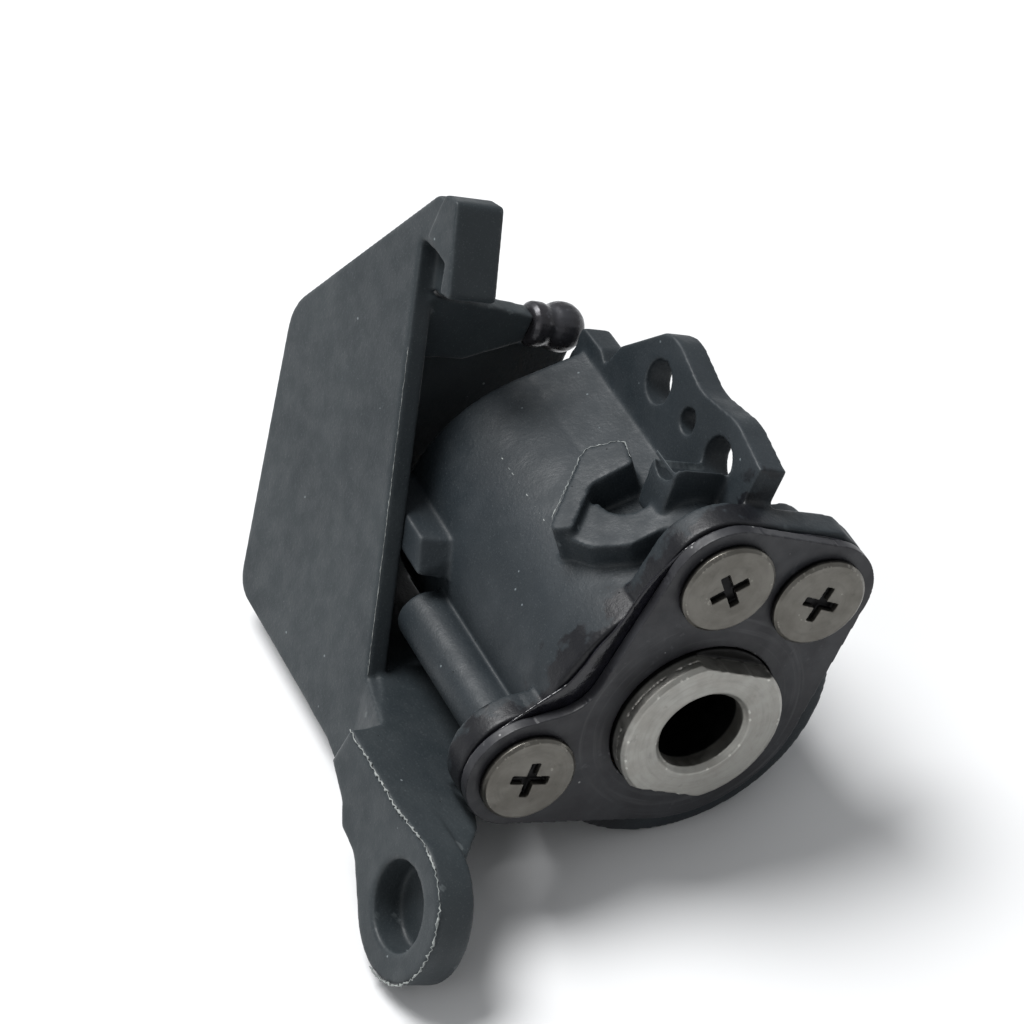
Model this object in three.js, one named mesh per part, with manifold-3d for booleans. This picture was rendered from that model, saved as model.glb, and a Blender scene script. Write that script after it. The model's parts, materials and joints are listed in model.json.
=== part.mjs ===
// Friction tilt hinge of a small pan and tilt mount, as separate solid pieces.
//
// Units are millimetres. Inside the hinge group X is the spindle axis with x = 0 on the
// end plate's outer face, Z is the way the mounting flange stands up, and -Y is the side
// with the shield. The group is then leaned about X, so that the mount lies on its barrel
// and on its ring lug, and +Z of the finished model is up.

import * as THREE from "three";
import { mergeVertices } from "three/addons/utils/BufferGeometryUtils.js";
import Module from "manifold-3d";

const wasm = await Module();
wasm.setup();

// ---------------------------------------------------------------- driving dimensions

const ROUND = 44; // sides of a large round
const SMALL_ROUND = 20; // sides of a small round
const FACE_GAP = 0.02; // between stacked faces
const SEAT_GAP = 0.05; // between a fixed ring and its seat, on the radius
const RUNNING_GAP = 0.06; // between a turning surface and its bearing, on the radius

const BARREL_R = 8.0;
const BARREL_REAR_X = -18.95;
const BARREL_BORE_R = 6.5;
const REAR_WALL = 1.2;
const FLANGE_ROOT_Z = 8.85;
const FLANGE_BACK_ANGLE = 62; // degrees from Y, where the round runs off to the flange's back

const PLATE_T = 0.6;
const GASKET_T = 0.2;
const END_FACE_X = -PLATE_T - GASKET_T;
const END_FLANGE_BACK_X = -2.5;
const PLATE_HUB_R = 6.5;
const LOBE_R = 3.2;
const SIDE_HOLLOW = { y: -8.35, z: 1.75, r: 2.2 }; // between the lower and the upper screw
const SHARP_CORNER = { y: 4.1, z: 10.75, r: 0.4 };
const COLLAR_HOLE_R = 4.5;

const SCREWS = [
  { name: "screw_lower", y: -8.06, z: -3.97, turn: 3, length: 11 },
  { name: "screw_upper", y: -1.97, z: 8.15, turn: 40, length: 4.2 },
  { name: "screw_corner", y: 3.7, z: 7.75, turn: -8, length: 4.2 },
];
const SCREW_HEAD_R = 2.5;
const SCREW_HEAD_T = 0.5;
const SCREW_SHANK_R = 1.2;
const SCREW_HOLE_R = 1.25;
const CROSS = { length: 2.1, width: 0.5, deep: 0.4 };

const BOSS = { r: 1.9, x: -5.4 }; // behind the two upper screws
const ROD_R = 1.5;
const ROD_END_X = -12.8;
const ROD_WEB = { y0: -7.9, y1: -6.3, z0: -4.5, z1: -3.4 }; // joins the rod to the barrel

const FLANGE_FRONT_Y = -1.08;
const FLANGE_T = 1.6;
const FLANGE_TOP_Z = 13.35;
const FLANGE_HOLE_Z = 11.5;
const TAIL_TIP_X = -19.85; // the flange's low end, just short of the ball stud
const FLANGE_HOLES = [
  { x: -5.7, r: 1.2 },
  { x: -9.05, r: 0.65 },
  { x: -12.4, r: 1.12 },
];

const HOOK = { angle: 127.8, wallR: 10.0, seatR: 9.4, buried: 1.3, x: -6.95, along: 1.75, throatR: 1.5 };
const LIMB = { x0: -6.7, x1: -4.4, frontY: -4.1, top: 11.65, bottom: 8.3, cornerR: 0.4 };

const SHIELD_FRONT_Y = -10.86;
const SHIELD_T = 1.15;
const SHIELD_BACK_Y = SHIELD_FRONT_Y + SHIELD_T;
const SHELF = { topZ: -6.95, t: 1.6, x0: -22.3, backY: -4.3, rearY: 0.0 };
const REAR_WALL_PLATE = { x0: -23.0, x1: -22.0, top: 7.0, bottom: -7.5, backY: 0.5 };
const LUG_FRONT_Y = -13.9;
const LUG_T = 2.1;
const LUG = { x: 2.55, z: -10.4, r: 3.8, hole: 2.26, floor: 0.4 };

const COLLAR_R = 4.42;
const COLLAR_FACE_X = 1.25;
const COLLAR_FLAT = 3.8; // from the axis to each of the two flats
const COLLAR_TURN = -5; // degrees, how far the flats lean at rest
const SPINDLE_BORE_R = 2.3;
const SPINDLE_MOUTH_R = 2.56;

// ---------------------------------------------------------------- small helpers

const radians = THREE.MathUtils.degToRad;

// A closed geometry as a solid, with its faces pointing out.
function solid(geometry) {
  const plain = geometry.clone();
  plain.deleteAttribute("normal");
  plain.deleteAttribute("uv");
  const merged = mergeVertices(plain, 1e-5);
  const points = merged.attributes.position.array;
  const corners = Uint32Array.from(merged.index.array);
  if (signedVolume(points, corners) < 0) {
    for (let i = 0; i < corners.length; i += 3) {
      [corners[i], corners[i + 1]] = [corners[i + 1], corners[i]];
    }
  }
  return new wasm.Manifold(new wasm.Mesh({ numProp: 3, vertProperties: points, triVerts: corners }));
}

function signedVolume(points, corners) {
  const [a, b, c] = [new THREE.Vector3(), new THREE.Vector3(), new THREE.Vector3()];
  let sum = 0;
  for (let i = 0; i < corners.length; i += 3) {
    a.fromArray(points, corners[i] * 3);
    b.fromArray(points, corners[i + 1] * 3);
    c.fromArray(points, corners[i + 2] * 3);
    sum += a.dot(b.cross(c));
  }
  return sum;
}

function toGeometry(body) {
  const mesh = body.getMesh();
  const geometry = new THREE.BufferGeometry();
  geometry.setAttribute("position", new THREE.BufferAttribute(new Float32Array(mesh.vertProperties), 3));
  geometry.setIndex(new THREE.BufferAttribute(new Uint32Array(mesh.triVerts), 1));
  return geometry;
}

function addAll(...bodies) {
  return bodies.reduce((sum, body) => sum.add(body));
}

// The closed belt that runs round a list of circles [across, up, radius]. A positive radius
// is passed on its outside, a negative one fills a hollow corner, and zero is a sharp corner.
function belt(circles) {
  const path = [];
  const count = circles.length;
  const lefts = circles.map((here, i) => {
    const next = circles[(i + 1) % count];
    const away = new THREE.Vector2(next[0] - here[0], next[1] - here[1]);
    const lean = Math.acos((next[2] - here[2]) / away.length());
    const angle = Math.atan2(away.y, away.x) + lean;
    return new THREE.Vector2(Math.cos(angle), Math.sin(angle));
  });
  circles.forEach((here, i) => {
    const [across, up, r] = here;
    const before = lefts[(i + count - 1) % count];
    const after = lefts[i];
    if (r === 0) {
      path.push(new THREE.Vector2(across, up));
      return;
    }
    const start = Math.atan2(-before.y, -before.x);
    let sweep = Math.atan2(-after.y, -after.x) - start;
    if (r > 0 && sweep < 0) sweep += 2 * Math.PI;
    if (r < 0 && sweep > 0) sweep -= 2 * Math.PI;
    const steps = Math.max(2, Math.ceil((Math.abs(sweep) / (2 * Math.PI)) * (Math.abs(r) > 3 ? ROUND : SMALL_ROUND)));
    for (let k = 0; k <= steps; k += 1) {
      const angle = start + (sweep * k) / steps;
      path.push(new THREE.Vector2(across + r * Math.cos(angle), up + r * Math.sin(angle)));
    }
  });
  return new THREE.Shape(path);
}

// An outline in (y, z), as a plate between two places on X.
function plateAlongX(shape, x0, x1) {
  const geometry = new THREE.ExtrudeGeometry(shape, { depth: x1 - x0, bevelEnabled: false });
  const axes = new THREE.Matrix4().makeBasis(
    new THREE.Vector3(0, 1, 0),
    new THREE.Vector3(0, 0, 1),
    new THREE.Vector3(1, 0, 0),
  );
  geometry.applyMatrix4(axes);
  geometry.translate(x0, 0, 0);
  return solid(geometry);
}

// An outline in (x, z), as a plate between a front place on Y and one further back.
function plateAlongY(shape, yFront, yBack) {
  const geometry = new THREE.ExtrudeGeometry(shape, { depth: yBack - yFront, bevelEnabled: false });
  const axes = new THREE.Matrix4().makeBasis(
    new THREE.Vector3(1, 0, 0),
    new THREE.Vector3(0, 0, 1),
    new THREE.Vector3(0, -1, 0),
  );
  geometry.applyMatrix4(axes);
  geometry.translate(0, yBack, 0);
  return solid(geometry);
}

function block(x0, x1, y0, y1, z0, z1) {
  const geometry = new THREE.BoxGeometry(x1 - x0, y1 - y0, z1 - z0);
  geometry.translate((x0 + x1) / 2, (y0 + y1) / 2, (z0 + z1) / 2);
  return solid(geometry);
}

// A round about the X direction. The profile is a list of [x, r] that starts and ends on r = 0.
function turned(profile, sides = ROUND, y = 0, z = 0) {
  const geometry = new THREE.LatheGeometry(profile.map(([x, r]) => new THREE.Vector2(r, x)), sides);
  geometry.rotateZ(-Math.PI / 2);
  geometry.translate(0, y, z);
  return solid(geometry);
}

function rodAlongX(x0, x1, r, sides = ROUND, y = 0, z = 0) {
  return turned([[x0, 0], [x0, r], [x1, r], [x1, 0]], sides, y, z);
}

function rodAlongY(y0, y1, r, x, z, sides = SMALL_ROUND) {
  const geometry = new THREE.CylinderGeometry(r, r, y1 - y0, sides);
  geometry.translate(x, (y0 + y1) / 2, z);
  return solid(geometry);
}

// A round about the Y direction. The profile is a list of [y, r] that starts and ends on r = 0.
function turnedAlongY(profile, x, z, sides = SMALL_ROUND) {
  const geometry = new THREE.LatheGeometry(profile.map(([y, r]) => new THREE.Vector2(r, y)), sides);
  return solid(geometry.translate(x, 0, z));
}

function ring(x0, x1, outer, inner, sides = ROUND) {
  return rodAlongX(x0, x1, outer, sides).subtract(rodAlongX(x0 - 1, x1 + 1, inner, sides));
}

// A bar with two flats, which keys the discs and rings to the spindle.
function flattenedBar(x0, x1, r, flat, turn) {
  const bar = rodAlongX(x0, x1, r);
  const keep = solid(new THREE.BoxGeometry(x1 - x0 + 2, 4 * r, 2 * flat).translate((x0 + x1) / 2, 0, 0));
  return turnAboutX(bar.intersect(keep), turn);
}

function turnAboutX(body, degrees) {
  return body.rotate([degrees, 0, 0]);
}

// ---------------------------------------------------------------- outlines

function plateOutline(inset) {
  const lobes = SCREWS.map(({ y, z }) => [y, z, LOBE_R - inset]);
  const [lower, upper, corner] = lobes;
  return belt([
    [0, 0, PLATE_HUB_R - inset],
    corner,
    upper,
    [SIDE_HOLLOW.y, SIDE_HOLLOW.z, -SIDE_HOLLOW.r - inset],
    lower,
  ]);
}

// The housing's end has one sharper corner than the plate that closes it.
function endFlangeOutline() {
  const [lower, upper, corner] = SCREWS.map(({ y, z }) => [y, z, LOBE_R]);
  return belt([
    [0, 0, PLATE_HUB_R],
    corner,
    [SHARP_CORNER.y, SHARP_CORNER.z, SHARP_CORNER.r],
    upper,
    [SIDE_HOLLOW.y, SIDE_HOLLOW.z, -SIDE_HOLLOW.r],
    lower,
  ]);
}

// The barrel is round, and runs off straight to the root of the flange on both sides.
function barrelOutline() {
  const root = new THREE.Vector2(FLANGE_FRONT_Y, FLANGE_ROOT_Z);
  const start = root.angle() + Math.acos(BARREL_R / root.length());
  const end = radians(360 + FLANGE_BACK_ANGLE);
  const points = [];
  for (let k = 0; k <= ROUND; k += 1) {
    const angle = start + ((end - start) * k) / ROUND;
    points.push(new THREE.Vector2(BARREL_R * Math.cos(angle), BARREL_R * Math.sin(angle)));
  }
  points.push(new THREE.Vector2(FLANGE_FRONT_Y + FLANGE_T, FLANGE_ROOT_Z));
  points.push(root);
  return new THREE.Shape(points);
}

function flangeOutline() {
  const bump = 2.4;
  const low = 10.85;
  return belt([
    [END_FLANGE_BACK_X, 4, 0],
    [END_FLANGE_BACK_X, FLANGE_TOP_Z, 0],
    [FLANGE_HOLES[0].x + 3.1, FLANGE_TOP_Z + 0.9, -0.9],
    [FLANGE_HOLES[0].x, FLANGE_HOLE_Z, bump],
    [FLANGE_HOLES[1].x, FLANGE_TOP_Z + 3, -3],
    [FLANGE_HOLES[2].x, FLANGE_HOLE_Z + 0.1, bump],
    [-14.0, FLANGE_TOP_Z - 0.9, 0.9],
    [-15.4, low + 0.9, -0.9],
    [-16.4, low, 0],
    [-16.9, 9.4, 0],
    [-17.7, 9.8, 0],
    [TAIL_TIP_X + 0.3, 9.45, 0.3],
    [TAIL_TIP_X + 0.3, 7.4, 0.3],
    [-18.0, 4, 0],
  ]);
}

// ---------------------------------------------------------------- the pieces

function housing() {
  const flangeBackY = FLANGE_FRONT_Y + FLANGE_T;
  const barrel = plateAlongX(barrelOutline(), BARREL_REAR_X, END_FACE_X);

  const behindFlange = END_FLANGE_BACK_X + 0.1;
  const endFlange = plateAlongX(endFlangeOutline(), END_FLANGE_BACK_X, END_FACE_X);
  const flange = plateAlongY(flangeOutline(), FLANGE_FRONT_Y, flangeBackY);
  const bosses = SCREWS.slice(1).map(({ y, z }) => rodAlongX(BOSS.x, behindFlange, BOSS.r, SMALL_ROUND, y, z));
  const [lower] = SCREWS;
  const rod = rodAlongX(ROD_END_X, behindFlange, ROD_R, SMALL_ROUND, lower.y, lower.z);
  const { y0, y1, z0, z1 } = ROD_WEB;
  const rodWeb = block(ROD_END_X, END_FLANGE_BACK_X, y0, y1, z0, z1);

  let body = addAll(barrel, endFlange, flange, ...bosses, rod, rodWeb, stopRib(), hook());
  body = body.subtract(rodAlongX(BARREL_REAR_X + REAR_WALL, 1, BARREL_BORE_R));
  body = body.subtract(rodAlongX(BARREL_REAR_X - 1, 0, REAR_BUSH.outer + SEAT_GAP));
  body = body.subtract(keyways());
  body = body.subtract(rodAlongX(BARREL_REAR_X + 0.4, 0, STOP_PIN.r + SEAT_GAP, SMALL_ROUND, STOP_PIN.y, STOP_PIN.z));
  for (const { y, z, length } of SCREWS) {
    body = body.subtract(rodAlongX(-length - 0.6, 1, SCREW_HOLE_R, SMALL_ROUND, y, z));
  }
  for (const { x, r } of FLANGE_HOLES) {
    body = body.subtract(rodAlongY(-4, 3, r, x, FLANGE_HOLE_Z));
  }
  const cup = new THREE.SphereGeometry(STUD.r + 0.3, 16, 10).translate(STUD.x, STUD.y, STUD.z);
  return body.subtract(solid(cup));
}

// The C-shaped cable hook on the round of the barrel: a high wall on the far side, a lower
// seat on the near side with a round throat in it, and a limb that joins it to the flange.
function hook() {
  const wall = belt([
    [-8.2, 2.45, 0.3],
    [-9.45, 2.65, 0.35],
    [-9.8, 1.2, 0.45],
    [-6.4, -2.15, 0.4],
    [-6.1, -1.75, 0.3],
    [-7.5, 0.45, -0.3],
  ]);
  const seat = belt([
    [-3.8, 2.9, 0.3],
    [-6.4, 3.2, 0.2],
    [-7.0, -0.4, 0.2],
    [-6.1, -1.9, 0.3],
    [-4.9, -1.1, 0.4],
    [-3.9, 0.3, 0.3],
  ]);
  const throat = belt([
    [HOOK.x, HOOK.along, HOOK.throatR],
    [-8.6, 3.6, 0.3],
    [-8.6, 1.3, 0.4],
  ]);
  const inside = BARREL_R - HOOK.buried;
  return onRound(seat, HOOK.angle, inside, HOOK.seatR)
    .subtract(onRound(throat, HOOK.angle, inside - 1, HOOK.wallR))
    .add(onRound(wall, HOOK.angle, inside, HOOK.wallR))
    .add(hookLimb());
}

function hookLimb() {
  const { x0, x1, frontY, top, bottom, cornerR } = LIMB;
  const back = FLANGE_FRONT_Y + 0.2;
  const outline = belt([
    [back, bottom, 0],
    [back, top, 0],
    [frontY + cornerR, top - cornerR, cornerR],
    [frontY + 0.6, bottom, 0.3],
  ]);
  return plateAlongX(outline, x0, x1);
}

// An outline in (x, round the barrel), standing out from the axis between two distances.
function onRound(outline, angle, from, to) {
  const across = new THREE.Vector3(1, 0, 0);
  const out = new THREE.Vector3(0, Math.cos(radians(angle)), Math.sin(radians(angle)));
  const along = new THREE.Vector3().crossVectors(out, across);
  const geometry = new THREE.ExtrudeGeometry(outline, { depth: to - from, bevelEnabled: false });
  geometry.translate(0, 0, from);
  geometry.applyMatrix4(new THREE.Matrix4().makeBasis(across, along, out));
  return solid(geometry);
}

// The rib on the side of the barrel that backs up the shield.
function stopRib() {
  const front = SHIELD_BACK_Y + FACE_GAP;
  const rear = BARREL_REAR_X + 0.3;
  const [top, bottom, root] = [0.6, -1.5, -6.2];
  return wasm.Manifold.hull([
    [rear, front, top - 0.4], [rear, root, top], [-13.6, front, top - 0.5], [-12.85, root, top],
    [rear, front, bottom], [rear, root, bottom], [-12.5, front, bottom], [-12.0, root, bottom],
  ]);
}

// Two grooves along the bore that stop the plain discs from turning.
function keyways() {
  const far = STACK_END_X - 0.4;
  return addAll(
    block(far, 0, -KEYWAY.outer, -KEYWAY.inner, -KEYWAY.half, KEYWAY.half),
    block(far, 0, KEYWAY.inner, KEYWAY.outer, -KEYWAY.half, KEYWAY.half),
  );
}

function sideShield() {
  const outline = belt([
    [-7.05, -12.8, 0.15],
    [-11.1, -7.3, 0],
    [-22.3, 12.3, 0],
    [-20.3, 12.6, 0],
    [-20.35, 14.1, 0.4],
    [-22.0, 14.15, 0.8],
    [-28.0, 2.2, 2.4],
    [-23.75, -10.2, 1.6],
    [-12.4, -11.9, 0],
  ]);
  const plate = plateAlongY(outline, SHIELD_FRONT_Y, SHIELD_BACK_Y);

  const head = belt([
    [-17.95, 11.8, 0.25],
    [-20.4, 15.45, 0.3],
    [-21.3, 15.2, 0.3],
    [-21.5, 12.9, 0],
    [-19.2, 12.75, 0],
    [-18.55, 11.65, 0.15],
  ]);
  const headBack = belt([
    [-18.6, 11.8, 0.25],
    [-20.4, 15.2, 0.2],
    [-22.4, 14.0, 0.2],
    [-22.4, 10.4, 0.2],
    [-20.4, 10.4, 0.2],
  ]);
  const headBlock = plateAlongY(head, SHIELD_FRONT_Y - 0.3, -8.3).add(plateAlongY(headBack, -9.75, -8.3));

  const arm = belt([
    [LUG.x, LUG.z, LUG.r],
    [-0.8, SHELF.topZ, 0],
    [-6.75, SHELF.topZ, 0],
    [-7.1, -9.25, 0],
    [-5.0, -10.1, 0],
    [-4.15, -11.05, 0],
    [-2.9, -12.55, -1.35],
  ]);
  const armPlate = plateAlongY(arm, LUG_FRONT_Y, LUG_FRONT_Y + LUG_T);

  const body = addAll(plate, headBlock, strut(), rearWallPlate(), armPlate, ...armSteps(), shelf());
  const studHole = rodAlongY(STUD.neckY - 0.5, 0, STUD.shank + SEAT_GAP, STUD.x, STUD.z);
  return body
    .subtract(rodAlongY(-20, LUG_FRONT_Y + LUG_T - LUG.floor, LUG.hole, LUG.x, LUG.z, ROUND))
    .subtract(studHole);
}

// The thin wall that reaches from the shield to the ball stud.
function strut() {
  const outline = new THREE.Shape(
    [[SHIELD_BACK_Y - 0.2, 6.15], [-6.5, 6.35], [STUD.neckY - 0.05, 7.75],
      [STUD.neckY - 0.05, 9.4], [-6.4, 9.7], [SHIELD_BACK_Y - 0.2, 9.9]]
      .map(([y, z]) => new THREE.Vector2(y, z)),
  );
  return plateAlongX(outline, STUD.x - 0.6, STUD.x + 0.6);
}

// The wall behind the barrel's rear end, which the strut stands in front of.
function rearWallPlate() {
  const { x0, x1, top, bottom, backY } = REAR_WALL_PLATE;
  const root = SHIELD_BACK_Y - 0.2;
  const outline = new THREE.Shape(
    [[root, bottom], [-4.0, bottom], [backY, -3.0], [backY, top], [STUD.neckY, top], [root, top - 0.7]]
      .map(([y, z]) => new THREE.Vector2(y, z)),
  );
  return plateAlongX(outline, x0, x1);
}

// Two steps lead from the arm's front face down to the shield's face.
function armSteps() {
  const top = SHELF.topZ - 0.02;
  const front = LUG_FRONT_Y + 0.3;
  const middle = -11.8;
  const foot = [
    [-11.1, top - 0.15], [-9.4, -12.3], [-7.05, -12.9], [-5.4, -10.9], [-4.4, -8.0],
  ];
  const upper = wasm.Manifold.hull([
    [-6.8, front, top], [-7.1, front, -9.2], [-5.0, front, -10.1], [-3.0, front, -8.0],
    [-7.3, middle, top], [-7.5, middle, -9.4], [-5.0, middle, -10.3], [-3.0, middle, -8.0],
  ]);
  const lower = wasm.Manifold.hull([
    [-7.3, middle, top], [-7.5, middle, -9.5], [-4.5, middle, -10.4], [-3.0, middle, -8.0],
    ...foot.map(([x, z]) => [x, SHIELD_FRONT_Y, z]),
    ...foot.map(([x, z]) => [x, SHIELD_BACK_Y, z]),
  ]);
  return [upper, lower];
}

// The shelf behind the arm and the shield, kept clear of the lower screw's lobe.
function shelf() {
  const outline = new THREE.Shape(
    [[-6.9, -12.6], [-7.4, -11.7], [-10.6, -10.3], [-13.0, SHIELD_BACK_Y - 0.1], [SHELF.x0, SHIELD_BACK_Y - 0.1],
      [SHELF.x0, SHELF.rearY], [BARREL_REAR_X - 1.2, SHELF.rearY], [BARREL_REAR_X - 1.2, SHELF.backY],
      [-9.5, SHELF.backY], [-6.0, -6.9], [-3.5, -7.75], [0.3, -9.55], [3.0, -11.6],
      [3.0, -12.6]]
      .map(([x, y]) => new THREE.Vector2(x, y)),
  );
  const geometry = new THREE.ExtrudeGeometry(outline, { depth: SHELF.t, bevelEnabled: false });
  const [lower] = SCREWS;
  const clearance = rodAlongX(END_FLANGE_BACK_X - 0.35, 4, LOBE_R + 0.35, ROUND, lower.y, lower.z);
  return solid(geometry.translate(0, 0, SHELF.topZ - SHELF.t)).subtract(clearance);
}

function endPlate() {
  let body = plateAlongX(plateOutline(0), -PLATE_T, 0);
  body = body.subtract(rodAlongX(-2, 1, COLLAR_HOLE_R));
  for (const { y, z } of SCREWS) {
    body = body.subtract(rodAlongX(-2, 1, SCREW_HOLE_R, SMALL_ROUND, y, z));
  }
  return body;
}

function plateGasket() {
  const lobes = SCREWS.map(({ y, z }) => [y, z, LOBE_R - 0.15]);
  const [lower, upper, corner] = lobes;
  const outline = belt([[0, 0, PLATE_HUB_R + 0.4], corner, upper, [-9.0, 2.0, -1.6], lower]);
  let body = plateAlongX(outline, END_FACE_X + FACE_GAP, -PLATE_T - FACE_GAP);
  body = body.subtract(rodAlongX(-2, 1, SEAL.outer + 0.1));
  for (const { y, z } of SCREWS) {
    body = body.subtract(rodAlongX(-2, 1, SCREW_HOLE_R, SMALL_ROUND, y, z));
  }
  return body;
}

function screw({ y, z, turn, length }) {
  const head = turned(
    [
      [FACE_GAP, 0],
      [FACE_GAP, SCREW_HEAD_R],
      [SCREW_HEAD_T - 0.15, SCREW_HEAD_R],
      [SCREW_HEAD_T, SCREW_HEAD_R - 0.15],
      [SCREW_HEAD_T, 0],
    ],
    36,
  );
  const shank = rodAlongX(-length, FACE_GAP + 0.1, SCREW_SHANK_R, SMALL_ROUND);
  const arm = new THREE.BoxGeometry(2 * CROSS.deep, CROSS.length, CROSS.width).translate(SCREW_HEAD_T, 0, 0);
  const cross = solid(arm).add(solid(arm.clone().rotateX(Math.PI / 2)));
  const body = head.add(shank).subtract(turnAboutX(cross, turn));
  return body.translate([0, y, z]);
}

// ---------------------------------------------------------------- inside the barrel

// Places on X, from the end plate inwards.
const SEAL = { x0: END_FACE_X + FACE_GAP, x1: -PLATE_T - FACE_GAP, outer: 5.5, inner: COLLAR_R + RUNNING_GAP };
const FRONT_BUSH = {
  x0: -3.0,
  x1: END_FACE_X - FACE_GAP,
  outer: BARREL_BORE_R - SEAT_GAP,
  inner: COLLAR_R + RUNNING_GAP,
};
const SHOULDER = { x0: -4.0, x1: FRONT_BUSH.x0 - FACE_GAP, r: 5.9 };
const KEYWAY = { inner: 5.8, outer: 7.15, half: 0.75 };
const KEY_R = 3.9;
const KEY_FLAT = 3.25;
const DISC = { plain: 0.75, keyed: 0.6, pairs: 3, outer: 6.4, keyedOuter: 5.9 };
const STACK_START_X = SHOULDER.x0 - FACE_GAP;
const PAIR_PITCH = DISC.plain + DISC.keyed + 2 * FACE_GAP;
const STACK_END_X = STACK_START_X - DISC.pairs * PAIR_PITCH;
const SPRING = { count: 4, thickness: 0.4, rise: 0.35, outer: 5.6, inner: 4.0 };
const SPRING_PITCH = SPRING.thickness + SPRING.rise + FACE_GAP;
const PRESSURE = { length: 0.8, r: 5.8 };
const SPRING_START_X = STACK_END_X - PRESSURE.length - FACE_GAP;
const NUT_SLOT = { deep: 0.7, half: 0.6 };
const NUT = { x1: SPRING_START_X - SPRING.count * SPRING_PITCH, length: 1.9, r: 5.3, bore: 3.45 };
const NUT_REAR_X = NUT.x1 - NUT.length;
const TAIL_R = 3.4;
const TAIL_FLAT = 2.95; // from the axis to the flat that keys the stop ring
const STOP_RING = { length: 1.0, r: 5.0, tabR: 6.25, tabHalf: 82.5 };
const STOP_RING_X1 = NUT_REAR_X - FACE_GAP;
const STOP_PIN_CIRCLE_R = 5.75;
const STOP_PIN = {
  r: 0.6,
  x0: BARREL_REAR_X + 0.45,
  x1: STOP_RING_X1 - 0.1,
  y: STOP_PIN_CIRCLE_R * Math.sin(radians(COLLAR_TURN)),
  z: -STOP_PIN_CIRCLE_R * Math.cos(radians(COLLAR_TURN)),
};
const REAR_BUSH = { outer: 4.4, inner: TAIL_R + RUNNING_GAP };
const TAIL_END_X = BARREL_REAR_X - 0.9;
const CIRCLIP = { length: 0.5, r: 4.1 };

const STUD = { x: -21.35, y: -1.3, z: 8.6, r: 1.35, shank: 0.4, neckY: -3.4, neckR: 1.2, waistR: 1.1 };

function spindle() {
  const collar = flattenedBar(FRONT_BUSH.x0, COLLAR_FACE_X, COLLAR_R, COLLAR_FLAT, 0);
  const plainCollar = rodAlongX(SHOULDER.x1, 0.1, COLLAR_R);
  const lip = COLLAR_FACE_X - 0.2;
  const grooveR = COLLAR_R - 0.1;
  const chamfer = turned([
    [-1, 0], [-1, 6], [0.6, 6], [0.6, grooveR], [0.72, grooveR], [0.72, 6],
    [lip, 6], [lip, COLLAR_R], [COLLAR_FACE_X, COLLAR_R - 0.2], [COLLAR_FACE_X, 0],
  ]);
  const shoulder = rodAlongX(SHOULDER.x0, SHOULDER.x1 + 0.01, SHOULDER.r);
  const key = flattenedBar(NUT.x1 + 0.2, SHOULDER.x0 + 0.1, KEY_R, KEY_FLAT, 0);
  const tail = rodAlongX(TAIL_END_X, NUT.x1 + 0.3, TAIL_R);
  const bore = turned([
    [TAIL_END_X - 1, 0],
    [TAIL_END_X - 1, SPINDLE_BORE_R],
    [COLLAR_FACE_X - 0.3, SPINDLE_BORE_R],
    [COLLAR_FACE_X, SPINDLE_MOUTH_R],
    [COLLAR_FACE_X + 1, SPINDLE_MOUTH_R],
    [COLLAR_FACE_X + 1, 0],
  ]);
  const groove = ring(TAIL_END_X + 0.15, TAIL_END_X + 0.15 + CIRCLIP.length + 0.04, 6, TAIL_R - 0.3);
  const tailKey = stopKey();
  const body = addAll(collar.intersect(chamfer.add(rodAlongX(-9, -1, 6))), plainCollar, shoulder, key, tail);
  return body.subtract(bore).subtract(groove).subtract(tailKey);
}

// The flat on the tail that the stop ring is keyed to.
function stopKey() {
  return block(STOP_RING_X1 - STOP_RING.length - 0.02, STOP_RING_X1 + 0.02, -6, 6, TAIL_FLAT, 7);
}

function dustSeal() {
  return ring(SEAL.x0, SEAL.x1, SEAL.outer, SEAL.inner);
}

function frontBush() {
  return ring(FRONT_BUSH.x0, FRONT_BUSH.x1, FRONT_BUSH.outer, FRONT_BUSH.inner);
}

function keyedHole(x0, x1, gap) {
  return flattenedBar(x0 - 1, x1 + 1, KEY_R + gap, KEY_FLAT + gap, 0);
}

function plainDisc(index) {
  const x1 = STACK_START_X - index * PAIR_PITCH;
  const x0 = x1 - DISC.plain;
  const reach = KEYWAY.outer - 0.1;
  const half = KEYWAY.half - 0.1;
  const tabs = addAll(
    block(x0, x1, -reach, -5, -half, half),
    block(x0, x1, 5, reach, -half, half),
  );
  return rodAlongX(x0, x1, DISC.outer).add(tabs).subtract(rodAlongX(x0 - 1, x1 + 1, KEY_R + 0.15));
}

function keyedDisc(index) {
  const x1 = STACK_START_X - index * PAIR_PITCH - DISC.plain - FACE_GAP;
  const x0 = x1 - DISC.keyed;
  return rodAlongX(x0, x1, DISC.keyedOuter).subtract(keyedHole(x0, x1, SEAT_GAP));
}

function pressureWasher() {
  const x1 = STACK_END_X;
  const x0 = x1 - PRESSURE.length;
  return rodAlongX(x0, x1, PRESSURE.r).subtract(keyedHole(x0, x1, SEAT_GAP));
}

// A coned spring washer; neighbours face opposite ways.
function discSpring(index) {
  const x1 = SPRING_START_X - index * SPRING_PITCH;
  const { thickness, rise, outer, inner } = SPRING;
  const nearOuter = index % 2 === 0;
  const atOuter = nearOuter ? x1 : x1 - rise;
  const atInner = nearOuter ? x1 - rise : x1;
  const cone = turned([
    [atInner - thickness, 0],
    [atInner - thickness, inner],
    [atOuter - thickness, outer],
    [atOuter, outer],
    [atInner, inner],
    [atInner, 0],
  ]);
  return cone.subtract(rodAlongX(x1 - 3, x1 + 3, inner + 0.02));
}

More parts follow.
